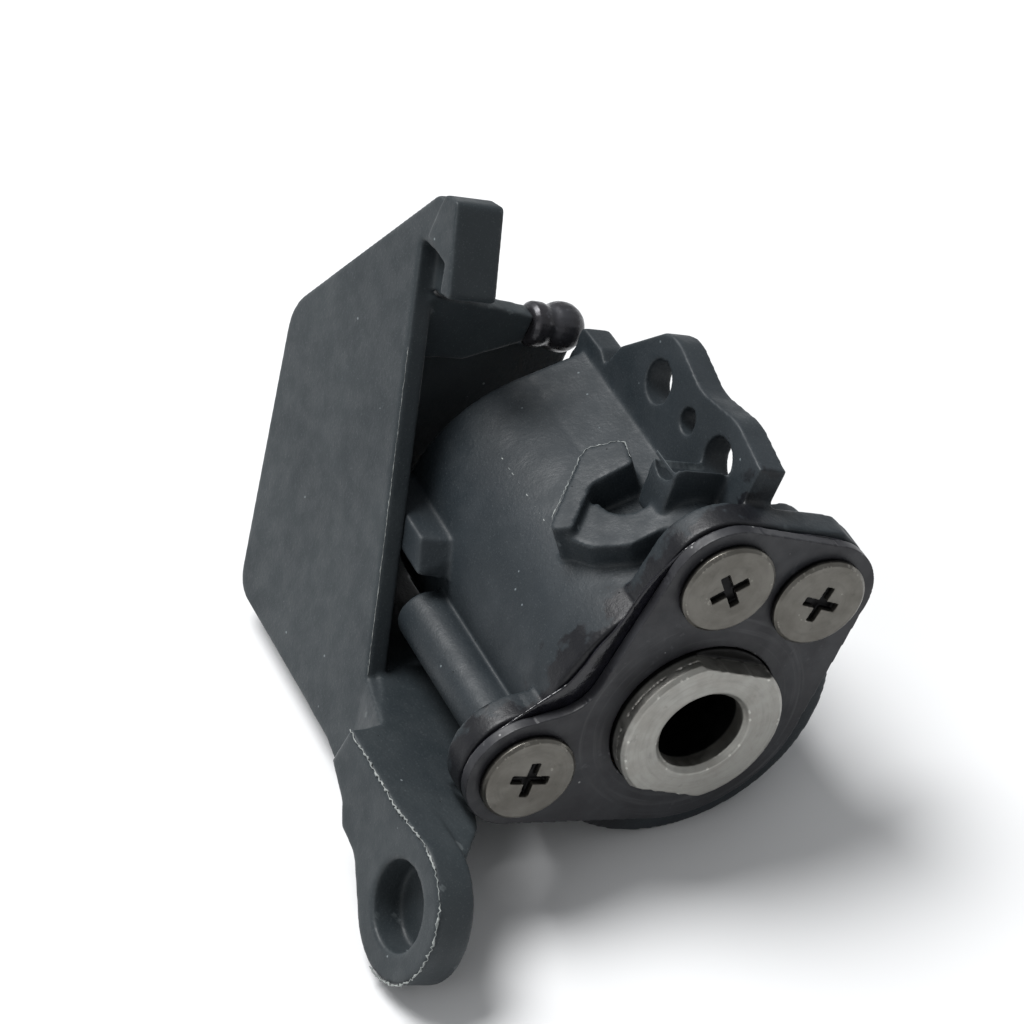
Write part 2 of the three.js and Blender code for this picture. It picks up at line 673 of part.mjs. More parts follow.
function clampNut() {
  const x1 = NUT.x1;
  const x0 = x1 - NUT.length;
  const slot = block(x0 - 1, x0 + NUT_SLOT.deep, -8, 8, -NUT_SLOT.half, NUT_SLOT.half);
  const slots = [0, 90].map((angle) => turnAboutX(slot, angle));
  let body = turned([[x0, 0], [x0, NUT.r], [x1 - 0.3, NUT.r], [x1, NUT.r - 0.3], [x1, 0]]);
  for (const slot of slots) body = body.subtract(slot);
  return body.subtract(rodAlongX(x0 - 1, x1 + 1, NUT.bore));
}

function stopRing() {
  const x1 = STOP_RING_X1 - FACE_GAP;
  const x0 = x1 - STOP_RING.length + 2 * FACE_GAP;
  const points = [];
  const steps = 30;
  for (let k = 0; k <= steps; k += 1) {
    const angle = radians(90 - STOP_RING.tabHalf + (2 * STOP_RING.tabHalf * k) / steps);
    points.push(new THREE.Vector2(STOP_RING.tabR * Math.cos(angle), STOP_RING.tabR * Math.sin(angle)));
  }
  points.push(new THREE.Vector2(0, 0));
  const tab = plateAlongX(new THREE.Shape(points), x0, x1);
  const round = rodAlongX(x0 - 1, x1 + 1, TAIL_R + 0.05);
  const hole = round.intersect(block(x0 - 1, x1 + 1, -6, 6, -6, TAIL_FLAT + SEAT_GAP));
  return rodAlongX(x0, x1, STOP_RING.r).add(tab).subtract(hole);
}

function stopPin() {
  return rodAlongX(STOP_PIN.x0, STOP_PIN.x1, STOP_PIN.r, SMALL_ROUND, STOP_PIN.y, STOP_PIN.z);
}

function rearBush() {
  return ring(BARREL_REAR_X, BARREL_REAR_X + REAR_WALL, REAR_BUSH.outer, REAR_BUSH.inner);
}

function circlip() {
  const x0 = TAIL_END_X + 0.15 + 0.02;
  const gapCut = block(x0 - 1, x0 + 2, -0.9, 0.9, 0, 8);
  return ring(x0, x0 + CIRCLIP.length, CIRCLIP.r, TAIL_R - 0.25).subtract(gapCut);
}

// The knob has a collar against the strut, a waist, and a ball at its end.
function ballStud() {
  const { y, r, shank, neckY, neckR, waistR } = STUD;
  const foot = neckY + FACE_GAP;
  const profile = [
    [foot - 0.4, 0],
    [foot - 0.4, shank],
    [foot, shank],
    [foot, neckR - 0.25],
    [foot + 0.25, neckR],
    [foot + 0.75, neckR],
    [y - 0.9, waistR - 0.05],
  ];
  const steps = 9;
  const start = Math.acos(0.78 / r);
  for (let k = 0; k <= steps; k += 1) {
    const angle = Math.PI - start + ((start - Math.PI) * k) / steps;
    profile.push([y + r * Math.cos(angle), k === steps ? 0 : r * Math.sin(angle)]);
  }
  return turnedAlongY(profile, STUD.x, STUD.z);
}

// ---------------------------------------------------------------- materials and assembly

const casting = { color: 0x4a4f53, roughness: 0.55, metalness: 0.35 };
const blackPlate = { color: 0x333438, roughness: 0.5, metalness: 0.5 };
const rubber = { color: 0x17181b, roughness: 0.9, metalness: 0.0 };
const plated = { color: 0xa5a39c, roughness: 0.35, metalness: 0.9 };
const satin = { color: 0xb4b3ae, roughness: 0.4, metalness: 0.9 };
const bronze = { color: 0x9a7440, roughness: 0.4, metalness: 0.8 };
const steel = { color: 0x8d8f92, roughness: 0.35, metalness: 0.9 };
const friction = { color: 0x5b4a3a, roughness: 0.8, metalness: 0.1 };
const glossBlack = { color: 0x26282b, roughness: 0.25, metalness: 0.2 };

function piece(name, body, look) {
  const mesh = new THREE.Mesh(toGeometry(body), new THREE.MeshStandardMaterial(look));
  mesh.name = name;
  return mesh;
}

const fixed = new THREE.Group();
fixed.add(piece("housing", housing(), casting));
fixed.add(piece("side_shield", sideShield(), casting));
fixed.add(piece("end_plate", endPlate(), blackPlate));
fixed.add(piece("plate_gasket", plateGasket(), rubber));
fixed.add(piece("dust_seal", dustSeal(), rubber));
for (const one of SCREWS) fixed.add(piece(one.name, screw(one), plated));
fixed.add(piece("ball_stud", ballStud(), glossBlack));
fixed.add(piece("front_bush", frontBush(), bronze));
fixed.add(piece("rear_bush", rearBush(), bronze));
fixed.add(piece("stop_pin", stopPin(), steel));
for (let i = 0; i < DISC.pairs; i += 1) fixed.add(piece(`plain_disc_${i + 1}`, plainDisc(i), friction));

const turning = new THREE.Group();
turning.rotation.x = radians(COLLAR_TURN);
turning.add(piece("spindle", spindle(), satin));
for (let i = 0; i < DISC.pairs; i += 1) turning.add(piece(`keyed_disc_${i + 1}`, keyedDisc(i), steel));
turning.add(piece("pressure_washer", pressureWasher(), steel));
for (let i = 0; i < SPRING.count; i += 1) turning.add(piece(`disc_spring_${i + 1}`, discSpring(i), steel));
turning.add(piece("clamp_nut", clampNut(), steel));
turning.add(piece("stop_ring", stopRing(), steel));
turning.add(piece("circlip", circlip(), steel));

// The mount leans back until the ring lug and the barrel both touch the ground plane.
const lugBackY = LUG_FRONT_Y + LUG_T;
const lugReach = Math.hypot(lugBackY, LUG.z - LUG.r);
const LEAN = Math.acos(BARREL_R / lugReach) - Math.atan2(-lugBackY, LUG.r - LUG.z);

const hinge = new THREE.Group();
hinge.rotation.x = -Math.abs(LEAN);
hinge.add(fixed, turning);

// The origin is at the middle of the model's box, on the ground plane.
const mount = new THREE.Group();
mount.add(hinge);
mount.updateMatrixWorld(true);
const box = new THREE.Box3().setFromObject(mount, true);
const middle = box.getCenter(new THREE.Vector3());
hinge.position.set(-middle.x, -middle.y, -box.min.z);

export default mount;
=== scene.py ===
"""Looks for one unit of a pan and tilt mount: a die-cast friction hinge on a white table.

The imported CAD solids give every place. Each visible solid is remeshed finely, its rounds are
made truly round and its edges are softened, and it gets a procedural material.
"""

import json
import math

import bmesh
import bpy
import numpy as np
from mathutils import Matrix, Vector


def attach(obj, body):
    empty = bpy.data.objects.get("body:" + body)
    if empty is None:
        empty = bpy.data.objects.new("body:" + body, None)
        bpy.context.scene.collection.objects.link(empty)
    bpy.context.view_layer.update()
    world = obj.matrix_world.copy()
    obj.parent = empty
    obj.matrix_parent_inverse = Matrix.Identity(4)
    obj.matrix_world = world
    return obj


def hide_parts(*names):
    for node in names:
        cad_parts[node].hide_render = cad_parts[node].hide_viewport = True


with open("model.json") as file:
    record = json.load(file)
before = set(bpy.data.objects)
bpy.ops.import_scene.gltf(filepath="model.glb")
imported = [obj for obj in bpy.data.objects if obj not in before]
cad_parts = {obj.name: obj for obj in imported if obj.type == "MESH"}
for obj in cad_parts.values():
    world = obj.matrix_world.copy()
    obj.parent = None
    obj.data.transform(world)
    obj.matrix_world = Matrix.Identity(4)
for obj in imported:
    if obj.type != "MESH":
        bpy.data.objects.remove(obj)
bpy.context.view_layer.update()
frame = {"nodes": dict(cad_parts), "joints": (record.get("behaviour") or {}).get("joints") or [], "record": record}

FIXED = "housing_body"
TURNING = "spindle_body"
MM = 0.001

# ------------------------------------------------------------------ the hinge's own frame

mounts = {m["name"]: m for m in frame["record"]["mounts"]}
flange_normal = Vector(mounts["flange_face"]["axis"])
PIVOT = Vector(frame["joints"][0]["pos_m"])
LEAN = math.atan2(flange_normal.z, -flange_normal.y)

# In this frame lengths are millimetres, X is the spindle, Z is along the flange and x = 0 is
# the end plate's face.
FROM_HINGE = Matrix.Translation(PIVOT) @ Matrix.Rotation(-LEAN, 4, "X") @ Matrix.Scale(MM, 4)
TO_HINGE = FROM_HINGE.inverted()


def link(obj):
    bpy.context.scene.collection.objects.link(obj)
    return obj


def points_of(mesh):
    flat = np.empty(len(mesh.vertices) * 3, np.float32)
    mesh.vertices.foreach_get("co", flat)
    return flat.reshape(-1, 3).astype(float)


def set_points(mesh, points):
    mesh.vertices.foreach_set("co", points.astype(np.float32).ravel())
    mesh.update()


def applied(obj):
    """The object's mesh with its modifiers applied, which are then removed."""
    graph = bpy.context.evaluated_depsgraph_get()
    graph.update()
    mesh = bpy.data.meshes.new_from_object(obj.evaluated_get(graph))
    obj.modifiers.clear()
    obj.data = mesh
    return mesh


def smoothed(obj, steps):
    smooth = obj.modifiers.new("smooth", "SMOOTH")
    smooth.factor = 0.5
    smooth.iterations = steps
    return applied(obj)


# ------------------------------------------------------------------ casting flash

HOOK_ANGLE = math.radians(127.8)  # round the barrel, from Y towards Z
HOOK_OUT = Vector((0, math.cos(HOOK_ANGLE), math.sin(HOOK_ANGLE)))
HOOK_ALONG = HOOK_OUT.cross(Vector((1, 0, 0)))
RIDGE_SIDES = 5
RIDGE_STEP = 0.14
THIN_RIDGE = 0.3
RIDGE_SWELL = 1.4


def on_round(x, along, out):
    """A place given along the spindle, round the barrel at the hook, and out from the axis."""
    return Vector((x, 0, 0)) + HOOK_ALONG * along + HOOK_OUT * out


def resampled(path, step):
    """The path with extra points, so that no two are much more than a step apart."""
    points = []
    for a, b in zip(path, path[1:]):
        a, b = Vector(a), Vector(b)
        count = max(1, round((b - a).length / step))
        points += [a.lerp(b, i / count) for i in range(count)]
    return points + [Vector(path[-1])]


def flash(path, width, seed, wander=0.025):
    """A thin closed ridge of flash with a ragged width, as vertices and faces."""
    rng = np.random.default_rng(seed)
    points = resampled(path, RIDGE_STEP)
    along = (points[-1] - points[0]).normalized()
    vertices = []
    faces = []
    for k, point in enumerate(points):
        ahead = points[min(k + 1, len(points) - 1)] - points[max(k - 1, 0)]
        along = ahead.normalized() if ahead.length > 1e-6 else along
        first = along.orthogonal().normalized()
        second = along.cross(first)
        radius = width * (THIN_RIDGE + rng.random() ** 3 * RIDGE_SWELL)
        middle = point + first * rng.normal(0, wander) + second * rng.normal(0, wander)
        for side in range(RIDGE_SIDES):
            turn = 2 * math.pi * side / RIDGE_SIDES
            vertices.append(middle + (first * math.cos(turn) + second * math.sin(turn)) * radius)
    for k in range(len(points) - 1):
        low, high = k * RIDGE_SIDES, (k + 1) * RIDGE_SIDES
        for side in range(RIDGE_SIDES):
            after = (side + 1) % RIDGE_SIDES
            faces.append((low + side, low + after, high + after, high + side))
    faces.append(tuple(reversed(range(RIDGE_SIDES))))
    faces.append(tuple(range(len(vertices) - RIDGE_SIDES, len(vertices))))
    return vertices, faces


def with_flash(mesh, ridges):
    """Adds the ridges to a mesh, where they use its second material."""
    whole = bmesh.new()
    whole.from_mesh(mesh)
    for vertices, faces in ridges:
        made = [whole.verts.new(v) for v in vertices]
        for face in faces:
            whole.faces.new([made[i] for i in face]).material_index = 1
    bmesh.ops.recalc_face_normals(whole, faces=[f for f in whole.faces if f.material_index == 1])
    whole.to_mesh(mesh)
    whole.free()


# ------------------------------------------------------------------ remeshed pieces

ROUND_TOLERANCE = 0.045


def true_round(points, axis, centre, radius):
    """Points that are almost on a round about X or Y are moved onto it."""
    across = [i for i in range(3) if i != axis]
    offset = points[:, across] - np.array(centre)
    length = np.hypot(offset[:, 0], offset[:, 1])
    near = np.abs(length - radius) < ROUND_TOLERANCE
    scale = np.where(near, radius / np.maximum(length, 1e-6), 1.0)
    points[:, across] = np.array(centre) + offset * scale[:, None]


def remeshed(name, node, body, voxel, smooth, rounds=(), shape=None, ridges=()):
    """A fine copy of a CAD solid with true rounds and soft edges, which takes the solid's place.

    The voxel is in millimetres and smooth is the number of smoothing steps.
    """
    obj = link(bpy.data.objects.new(name, frame["nodes"][node].data.copy()))
    obj.data.materials.clear()
    obj.data.transform(TO_HINGE)
    remesh = obj.modifiers.new("remesh", "REMESH")
    remesh.mode = "VOXEL"
    remesh.voxel_size = voxel
    mesh = applied(obj)
    points = points_of(mesh)
    for axis, centre, radius in rounds:
        true_round(points, axis, centre, radius)
    if shape is not None:
        shape(points)
    set_points(mesh, points)
    mesh = smoothed(obj, smooth)
    if ridges:
        with_flash(mesh, ridges)
    mesh.transform(FROM_HINGE)
    mesh.shade_smooth()
    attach(obj, body)
    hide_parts(node)
    return obj


# ------------------------------------------------------------------ material nodes

NOISE_ROUGHNESS = 0.55
ALONG_SHARE = 0.08


class Finish:
    """A procedural material whose texture coordinates are millimetres in the hinge's frame."""

    def __init__(self, name, metallic=0.0, specular=0.5):
        self.material = bpy.data.materials.new(name)
        self.material.use_nodes = True
        self.tree = self.material.node_tree
        self.shader = self.tree.nodes["Principled BSDF"]
        self.shader.inputs["Metallic"].default_value = metallic
        self.shader.inputs["Specular IOR Level"].default_value = specular
        object_coords = self.add("ShaderNodeTexCoord").outputs["Object"]
        mapping = self.add("ShaderNodeMapping")
        mapping.inputs["Scale"].default_value = (1 / MM,) * 3
        mapping.inputs["Rotation"].default_value = (LEAN, 0, 0)
        mapping.inputs["Location"].default_value = TO_HINGE.to_translation()
        self.join(object_coords, mapping.inputs["Vector"])
        self.place = mapping.outputs["Vector"]
        self.normal = None

    def add(self, kind, **settings):
        node = self.tree.nodes.new(kind)
        for key, value in settings.items():
            setattr(node, key, value)
        return node

    def join(self, output, socket):
        self.tree.links.new(output, socket)

    def feed(self, socket, value):
        if isinstance(value, bpy.types.NodeSocket):
            self.join(value, socket)
        else:
            socket.default_value = value

    def noise(self, scale, detail, where=None):
        """Noise of about scale waves to the millimetre."""
        node = self.add("ShaderNodeTexNoise")
        self.join(where or self.place, node.inputs["Vector"])
        node.inputs["Scale"].default_value = scale
        node.inputs["Detail"].default_value = detail
        node.inputs["Roughness"].default_value = NOISE_ROUGHNESS
        return node.outputs["Fac"]

    def cells(self, scale):
        """The distance to the nearest of many scattered points, in cells."""
        node = self.add("ShaderNodeTexVoronoi", feature="F1")
        self.join(self.place, node.inputs["Vector"])
        node.inputs["Scale"].default_value = scale
        return node.outputs["Distance"]

    def rise(self, value, low, high, start=0.0, end=1.0):
        """A value that goes smoothly from start to end while the input goes from low to high."""
        node = self.add("ShaderNodeMapRange", interpolation_type="SMOOTHSTEP")
        node.inputs["From Min"].default_value = low
        node.inputs["From Max"].default_value = high
        node.inputs["To Min"].default_value = start
        node.inputs["To Max"].default_value = end
        self.feed(node.inputs["Value"], value)
        return node.outputs["Result"]

    def combined(self, operation, a, b):
        node = self.add("ShaderNodeMath", operation=operation)
        self.feed(node.inputs[0], a)
        self.feed(node.inputs[1], b)
        return node.outputs[0]

    def times(self, a, b):
        return self.combined("MULTIPLY", a, b)

    def plus(self, a, b):
        return self.combined("ADD", a, b)

    def blend(self, share, a, b):
        """The colour a where the share is 0 and the colour b where it is 1."""
        node = self.add("ShaderNodeMix", data_type="RGBA")
        self.feed(node.inputs["Factor"], share)
        colours = [s for s in node.inputs if s.type == "RGBA"]
        for socket, colour in zip(colours, (a, b)):
            ready = colour if isinstance(colour, bpy.types.NodeSocket) else (*colour, 1.0)
            self.feed(socket, ready)
        return next(s for s in node.outputs if s.type == "RGBA")

    def distance_from_axis(self, y=0.0, z=0.0):
        """The distance from the line along X through y and z."""
        flat = self.add("ShaderNodeVectorMath", operation="MULTIPLY_ADD")
        self.join(self.place, flat.inputs[0])
        flat.inputs[1].default_value = (0, 1, 1)
        flat.inputs[2].default_value = (0, -y, -z)
        length = self.add("ShaderNodeVectorMath", operation="LENGTH")
        self.join(flat.outputs["Vector"], length.inputs[0])
        return length.outputs["Value"]

    def part(self, axis):
        """One coordinate of the place: X, Y or Z."""
        node = self.add("ShaderNodeSeparateXYZ")
        self.join(self.place, node.inputs[0])
        return node.outputs[axis]

    def spiral(self, radius, slow):
        """Coordinates that change fast with the radius and slowly along the face."""
        node = self.add("ShaderNodeCombineXYZ")
        self.join(radius, node.inputs[0])
        self.feed(node.inputs[1], self.times(self.part("Y"), slow * ALONG_SHARE))
        self.feed(node.inputs[2], self.times(self.part("Z"), slow * ALONG_SHARE))
        return node.outputs[0]

    def pale_specks(self, scale, size):
        """Small separate specks, a few to the centimetre."""
        spots = self.rise(self.cells(scale), size * 0.6, size, 1, 0)
        return self.times(spots, self.rise(self.noise(0.45, 2), 0.50, 0.56))

    def edges(self):
        return self.add("ShaderNodeNewGeometry").outputs["Pointiness"]

    def bump(self, height, depth_mm, strength):
        """Adds to the bumps so far."""
        node = self.add("ShaderNodeBump")
        node.inputs["Strength"].default_value = strength
        node.inputs["Distance"].default_value = depth_mm * MM
        self.join(height, node.inputs["Height"])
        if self.normal is not None:
            self.join(self.normal, node.inputs["Normal"])
        self.normal = node.outputs["Normal"]

    def done(self, colour, roughness):
        """Joins colour, roughness and bumps to the shader and gives the material."""
        self.feed(self.shader.inputs["Base Color"], colour)
        self.feed(self.shader.inputs["Roughness"], roughness)
        if self.normal is not None:
            self.join(self.normal, self.shader.inputs["Normal"])
        return self.material


WET_BLACK = (0.005, 0.005, 0.007)
# Black painted shade for recesses on turned metal.
PAINTED_RECESS_SHADE = (0.006, 0.006, 0.007)


def scaled(colour, share):
    return tuple(min(1.0, c * share) for c in colour)


def casting(name, dark, light, pale, smear=False):
    """Matt die-cast alloy: mottled, finely grained, pitted, paler where edges are rubbed, and darker in creases as
    painted shade.
    """
    f = Finish(name, specular=0.32)
    mottle = f.noise(0.16, 5)
    grain = f.noise(4.5, 3)
    speck = f.noise(11.0, 2)
    base = f.blend(f.rise(mottle, 0.35, 0.65), dark, light)
    base = f.blend(f.rise(speck, 0.58, 0.74, 0, 0.35), base, pale)
    pits = f.rise(f.cells(1.3), 0.03, 0.07, 1, 0)
    pit_area = f.rise(f.noise(0.5, 2), 0.52, 0.6)
    pits = f.times(pits, pit_area)
    base = f.blend(pits, base, scaled(dark, 0.35))
    rub = f.times(f.rise(f.edges(), 0.515, 0.60), f.rise(f.noise(1.1, 5), 0.36, 0.62))
    base = f.blend(f.times(rub, 0.75), base, pale)
    # Painted shade: darker in creases and inner corners.
    base = f.blend(f.rise(f.edges(), 0.40, 0.485, 0.55, 0), base, scaled(dark, 0.3))
    base = f.blend(f.times(f.pale_specks(0.8, 0.065), 0.8), base, scaled(pale, 2.2))
    f.bump(grain, 0.035, 0.5)
    f.bump(speck, 0.012, 0.5)
    f.bump(pits, -0.03, 0.8)
    roughness = f.rise(f.noise(0.8, 4), 0.3, 0.7, 0.44, 0.62)
    if smear:
        # Sealant wiped over the casting next to the end plate, mostly on the shield's side.
        reach = f.plus(f.part("X"), f.rise(f.noise(0.55, 5), 0.3, 0.7, -1.5, 1.5))
        wet = f.times(f.rise(reach, -2.6, -1.7), f.rise(f.part("Y"), -1.5, 1.0, 1, 0.15))
        base = f.blend(f.times(wet, 0.92), base, WET_BLACK)
        roughness = f.times(roughness, f.rise(wet, 0.3, 0.9, 1.0, 0.8))
    return f.done(base, roughness)


def plate_finish():
    """Black plate, with a worn band round its opening, scuffs, rubbed edges and small pale specks."""
    f = Finish("black_plate", specular=0.4)
    radius = f.distance_from_axis()
    mottle = f.rise(f.noise(0.35, 5), 0.35, 0.65)
    base = f.blend(mottle, (0.014, 0.014, 0.017), (0.024, 0.025, 0.029))
    rings = f.noise(3.0, 3, f.spiral(radius, 0.6))
    around = f.times(f.rise(radius, 4.6, 5.0), f.rise(radius, 6.2, 6.9, 1, 0))
    worn = f.times(f.rise(rings, 0.5, 0.7), around)
    base = f.blend(f.times(worn, 0.35), base, (0.075, 0.076, 0.08))
    scuffs = f.times(f.rise(f.noise(1.7, 6), 0.58, 0.68), f.rise(f.noise(0.4, 2), 0.5, 0.6))
    base = f.blend(f.times(scuffs, 0.4), base, (0.07, 0.072, 0.078))
    rub = f.times(f.rise(f.edges(), 0.53, 0.62), f.rise(f.noise(1.4, 4), 0.42, 0.62))
    base = f.blend(f.times(rub, 0.6), base, (0.2, 0.2, 0.205))
    base = f.blend(f.times(f.pale_specks(0.9, 0.07), 0.7), base, (0.3, 0.3, 0.3))
    f.bump(f.noise(6.0, 3), 0.010, 0.5)
    roughness = f.rise(f.noise(0.9, 5), 0.3, 0.7, 0.36, 0.56)
    return f.done(base, roughness)


def turned_metal(name, colour, stain, roughness, lay, metallic=1.0, y=0.0, z=0.0, painted_shade_below=None):
    """Turned metal: rings about the axis, light staining, bright rubbed edges and painted shade in creases.

    The last argument gives two places along X: between them it goes from black painted shade in the recess to
    none.
    """
    f = Finish(name, metallic=metallic)
    radius = f.distance_from_axis(y, z)
    rings = f.noise(lay, 3, f.spiral(radius, 1.0))
    base = f.blend(f.rise(f.noise(0.7, 5), 0.35, 0.7), colour, stain)
    base = f.blend(f.rise(rings, 0.4, 0.7, 0, 0.3), base, scaled(colour, 0.7))
    grime = f.times(f.rise(f.noise(2.2, 5), 0.60, 0.76), 0.25)
    base = f.blend(grime, base, scaled(stain, 0.35))
    base = f.blend(f.rise(f.edges(), 0.53, 0.62, 0, 0.7), base, scaled(colour, 1.6))
    # Painted shade: much darker in creases and inner corners.
    base = f.blend(f.rise(f.edges(), 0.38, 0.48, 0.8, 0), base, scaled(stain, 0.15))
    # Painted shade: black low in the recess, fading out between the two places along X.
    if painted_shade_below is not None:
        low, high = painted_shade_below
        base = f.blend(f.rise(f.part("X"), low, high, 0.96, 0), base, PAINTED_RECESS_SHADE)
    f.bump(rings, 0.010, 0.4)
    f.bump(f.noise(9.0, 2), 0.006, 0.4)
    return f.done(base, f.rise(f.noise(1.6, 4), 0.3, 0.7, roughness - 0.07, roughness + 0.1))


def soft_black(name, colour, roughness):
    """Rubber or sealant: uneven in colour, gloss and surface."""
    f = Finish(name)
    base = f.blend(f.rise(f.noise(1.2, 4), 0.35, 0.65), colour, scaled(colour, 2.2))
    f.bump(f.noise(2.5, 4), 0.05, 0.6)
    return f.done(base, f.rise(f.noise(3.0, 3), 0.3, 0.7, roughness * 0.8, roughness * 1.3))


housing_metal = casting(
    "housing_metal",
    dark=(0.014, 0.019, 0.023),
    light=(0.022, 0.028, 0.033),
    pale=(0.070, 0.082, 0.088),
    smear=True,
)
# The shield is the same die-cast metal as the housing; its lighter colours are painted light, for the light that
# falls more on the shield.
shield_metal_painted_light = casting(
    "shield_metal_painted_light",
    dark=(0.021, 0.027, 0.031),
    light=(0.030, 0.037, 0.041),
    pale=(0.088, 0.100, 0.105),
)
bare_flash = casting(
    "bare_flash",
    dark=(0.14, 0.155, 0.155),
    light=(0.22, 0.235, 0.23),
    pale=(0.36, 0.38, 0.37),
)
black_plate = plate_finish()
spindle_metal = turned_metal(
    "spindle_metal",
    colour=(0.38, 0.375, 0.35),
    stain=(0.34, 0.33, 0.305),
    roughness=0.46,
    lay=7.0,
    # Painted shade in the recess between the flats and the plate's opening.
    painted_shade_below=(0.12, 0.32),
)
sealant = soft_black("sealant", (0.004, 0.004, 0.006), 0.16)
seal_rubber = soft_black("seal_rubber", (0.005, 0.005, 0.006), 0.7)
stud_black = turned_metal(
    "stud_black",
    colour=(0.040, 0.041, 0.047),
    stain=(0.028, 0.026, 0.030),
    roughness=0.30,
    lay=5.0,
    metallic=0.4,
)
bronze = turned_metal("bronze", (0.36, 0.23, 0.10), (0.24, 0.15, 0.07), 0.42, 6.0)
steel = turned_metal("steel", (0.30, 0.30, 0.31), (0.20, 0.20, 0.21), 0.36, 6.0)
lining = soft_black("friction_lining", (0.05, 0.035, 0.022), 0.7)

# ------------------------------------------------------------------ the pieces

# All lengths are millimetres in the hinge's frame, and a round is its axis, centre and radius.
X, Y = 0, 1
SPINDLE = (0.0, 0.0)
SCREWS = {
    "screw_lower": (-8.06, -3.97),
    "screw_upper": (-1.97, 8.15),
    "screw_corner": (3.7, 7.75),
}
LOBE_R = 3.2
SCREW_HOLE_R = 1.25
SCREW_HEAD_R = 2.5
SCREW_SHANK_R = 1.2
BARREL_R = 8.0
BARREL_BORE_R = 6.5
PLATE_OPENING_R = 4.5
ROD_R = 1.5
SPINDLE_RADII = (4.42, 2.3, 5.9, 3.9, 3.4)
FLANGE_HOLE_Z = 11.5
FLANGE_HOLES = {-5.7: 1.2, -9.05: 0.65, -12.4: 1.12}
RING = (2.55, -10.4)
RING_R = 3.8
RING_HOLE_R = 2.26

lobes = [(X, place, LOBE_R) for place in SCREWS.values()]
screw_holes = [(X, place, SCREW_HOLE_R) for place in SCREWS.values()]
flange_holes = [(Y, (x, FLANGE_HOLE_Z), r) for x, r in FLANGE_HOLES.items()]

ARM_FRONT_Y = -13.9
ARM_TOP_Z = -6.97
HOOK_FACE_R = 9.97
SHIELD_FRONT_Y = -10.8
SEAM = (-6.41, 4.75)


def on_ring(degrees):
    """A place on the front edge of the ring lug."""
    angle = math.radians(degrees)
    x = RING[0] + RING_R * math.cos(angle)
    return (x, ARM_FRONT_Y, RING[1] + RING_R * math.sin(angle))


ring_edge = [on_ring(degrees) for degrees in range(98, -92, -6)]
arm_edge = [(x, ARM_FRONT_Y, ARM_TOP_Z) for x in (-6.7, -1.0)] + ring_edge
shield_edge = [(-11.3, SHIELD_FRONT_Y, -7.0), (-19.6, SHIELD_FRONT_Y, 7.5)]
hook_corners = [(-8.3, 2.7), (-9.35, 2.95), (-9.75, 2.6), (-10.15, 1.25), (-9.9, 0.7), (-6.9, -2.3)]
hook_edge = [on_round(x, along, HOOK_FACE_R) for x, along in hook_corners]
barrel_seam = [(x, *SEAM) for x in (-14.8, -8.4)]

housing = remeshed(
    "housing_skin", "housing", FIXED, voxel=0.12, smooth=9,
    rounds=[(X, SPINDLE, BARREL_R), (X, SPINDLE, BARREL_BORE_R), (X, SCREWS["screw_lower"], ROD_R)]
    + lobes + screw_holes + flange_holes,
    ridges=[flash(hook_edge, 0.032, 3), flash(barrel_seam, 0.03, 5, wander=0.008)],
)
housing.data.materials.append(housing_metal)
housing.data.materials.append(bare_flash)

shield = remeshed(
    "shield_skin", "side_shield", FIXED, voxel=0.12, smooth=12,
    rounds=[(Y, RING, RING_R), (Y, RING, RING_HOLE_R)],
    ridges=[flash(arm_edge, 0.055, 7, wander=0.04), flash(shield_edge, 0.018, 9, wander=0.01)],
)
shield.data.materials.append(shield_metal_painted_light)
shield.data.materials.append(bare_flash)

plate = remeshed(
    "plate_skin", "end_plate", FIXED, voxel=0.055, smooth=3,
    rounds=lobes + screw_holes + [(X, SPINDLE, BARREL_BORE_R), (X, SPINDLE, PLATE_OPENING_R)],
)
plate.data.materials.append(black_plate)

SEALANT_SEED = 11
SEALANT_WAVES = range(2, 16)
SEALANT_PUSH = 0.10
SEALANT_WAVE = 0.13
MOST_SEALANT = 0.42
SEALANT_INNER_R = 6.2
CLEAN_SIDE = math.radians(-30)


def squeezed_out(points):
    """The sealant bulges unevenly past the plate's edge, mostly on the shield's side."""
    rng = np.random.default_rng(SEALANT_SEED)
    out = np.hypot(points[:, 1], points[:, 2])
    angle = np.arctan2(points[:, 2], points[:, 1])
    bulge = np.zeros(len(points))
    for turns in SEALANT_WAVES:
        bulge += rng.normal(0, 1) * np.cos(turns * angle + rng.uniform(0, 2 * math.pi)) / turns**0.5
    side = 0.5 - 0.5 * np.cos(angle - CLEAN_SIDE)
    push = np.clip(SEALANT_PUSH + SEALANT_WAVE * bulge, 0, MOST_SEALANT) * side * (out > SEALANT_INNER_R)
    points[:, 1] += points[:, 1] / out * push
    points[:, 2] += points[:, 2] / out * push


bead = remeshed(
    "sealant_bead", "plate_gasket", FIXED, voxel=0.07, smooth=6, shape=squeezed_out
)
bead.data.materials.append(sealant)

collar = remeshed(
    "spindle_skin", "spindle", TURNING, voxel=0.065, smooth=3,
    rounds=[(X, SPINDLE, radius) for radius in SPINDLE_RADII],
)
collar.data.materials.append(spindle_metal)

for screw_name, place in SCREWS.items():
    screw = remeshed(
        screw_name + "_skin", screw_name, FIXED, voxel=0.045, smooth=3,
        rounds=[(X, place, SCREW_HEAD_R), (X, place, SCREW_SHANK_R)],
    )
    # Each screw has its own turning marks, round its own centre.
    plating = turned_metal(
        screw_name + "_plating",
        colour=(0.16, 0.153, 0.137),
        stain=(0.125, 0.118, 0.104),
        roughness=0.38,
        lay=6.0,
        metallic=0.9,
        y=place[0],
        z=place[1],
        # Painted shade low on the screw heads and in their recesses.
        painted_shade_below=(0.12, 0.40),
    )
    screw.data.materials.append(plating)

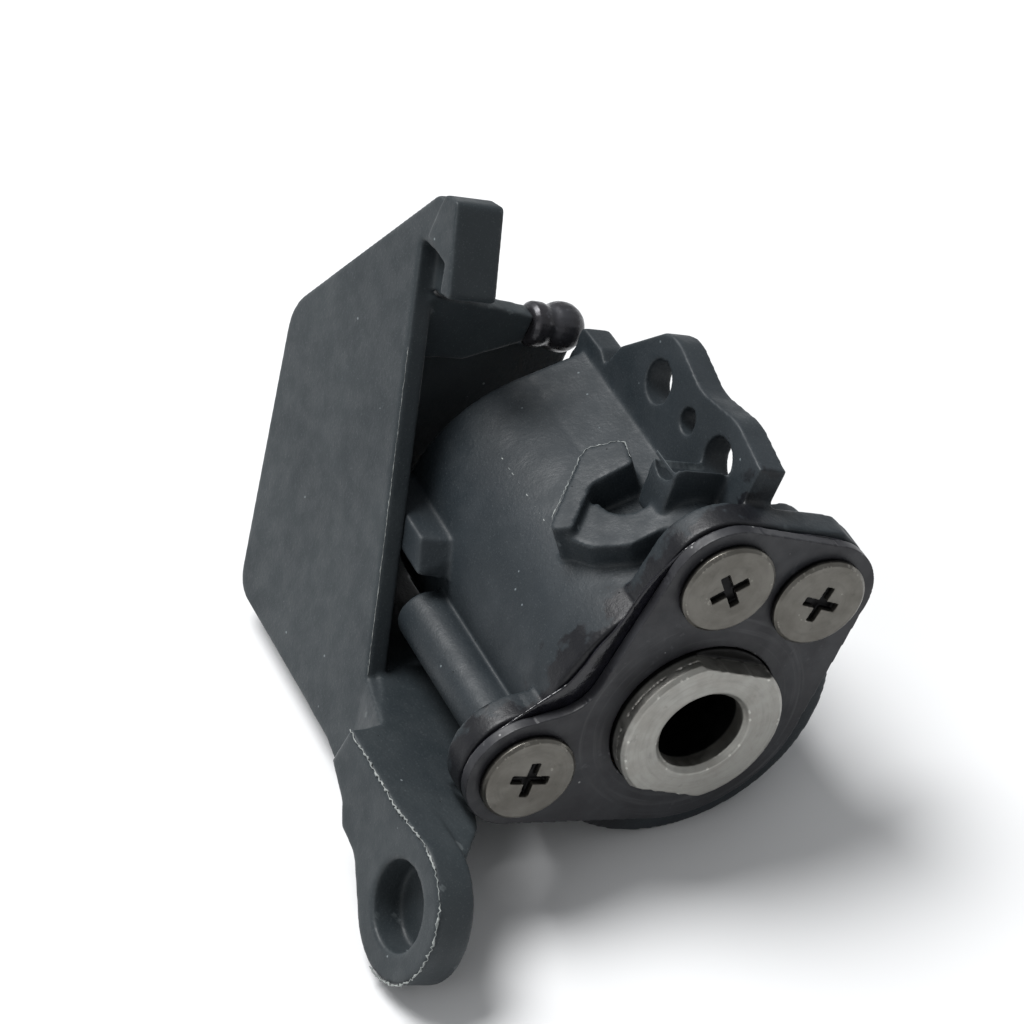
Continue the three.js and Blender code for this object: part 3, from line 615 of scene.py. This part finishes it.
stud = remeshed("stud_skin", "ball_stud", FIXED, voxel=0.07, smooth=6)
stud.data.materials.append(stud_black)

# The hidden pieces keep their CAD meshes, and those not named here are steel.
INNER = {
    "dust_seal": seal_rubber,
    "front_bush": bronze,
    "rear_bush": bronze,
    "plain_disc_1": lining,
    "plain_disc_2": lining,
    "plain_disc_3": lining,
}
for node_name, node in frame["nodes"].items():
    if not node.hide_render:
        node.data.materials.clear()
        node.data.materials.append(INNER.get(node_name, steel))

# ------------------------------------------------------------------ table, light and camera

TABLE_HALF = 3.0
TABLE_WHITE = (0.70, 0.705, 0.712, 1)
SKY_WHITE = (0.97, 0.985, 1.0, 1)
SKY_STRENGTH = 0.40
LIT_PLACE = (0, 0, 0.01)

# The camera's place in millimetres and its upright are in the hinge's frame. The place looked
# at is in metres in the frame of the scene.
CAMERA_PLACE = (135.83, -123.228, 104.457)
CAMERA_UPRIGHT = (-0.6224, -0.0499, 0.7811)
CAMERA_TARGET = (0.0, 0.0, 0.0135)

scene = bpy.context.scene
scene.view_settings.view_transform = "Standard"


def table():
    half = TABLE_HALF
    mesh = bpy.data.meshes.new("table")
    corners = [(-half, -half, 0), (half, -half, 0), (half, half, 0), (-half, half, 0)]
    mesh.from_pydata(corners, [], [(0, 1, 2, 3)])
    obj = link(bpy.data.objects.new("table", mesh))
    material = bpy.data.materials.new("table_white")
    material.use_nodes = True
    shader = material.node_tree.nodes["Principled BSDF"]
    shader.inputs["Base Color"].default_value = TABLE_WHITE
    shader.inputs["Roughness"].default_value = 0.6
    mesh.materials.append(material)


def area_light(name, place, size, power):
    data = bpy.data.lights.new(name, "AREA")
    data.shape = "DISK"
    data.size = size
    data.energy = power
    obj = link(bpy.data.objects.new(name, data))
    obj.location = place
    obj.rotation_euler = (Vector(LIT_PLACE) - Vector(place)).to_track_quat("-Z", "Y").to_euler()


def studio():
    world = bpy.data.worlds.new("studio")
    world.use_nodes = True
    background = world.node_tree.nodes["Background"]
    background.inputs["Color"].default_value = SKY_WHITE
    background.inputs["Strength"].default_value = SKY_STRENGTH
    scene.world = world
    area_light("key_light", place=(-0.25, -0.12, 0.58), size=0.34, power=5.3)
    area_light("fill_light", place=(0.30, -0.50, 0.45), size=0.50, power=0.6)


def camera():
    place = FROM_HINGE @ Vector(CAMERA_PLACE)
    upright = (FROM_HINGE.to_3x3() @ Vector(CAMERA_UPRIGHT)).normalized()
    back = (place - Vector(CAMERA_TARGET)).normalized()
    right = upright.cross(back).normalized()
    up = back.cross(right)
    data = bpy.data.cameras.new("camera")
    data.sensor_width = 36
    data.lens = 150
    data.clip_start = 0.005
    obj = link(bpy.data.objects.new("camera", data))
    turn = Matrix((right, up, back)).transposed()
    obj.matrix_world = Matrix.Translation(place) @ turn.to_4x4()
    scene.camera = obj


table()
studio()
camera()
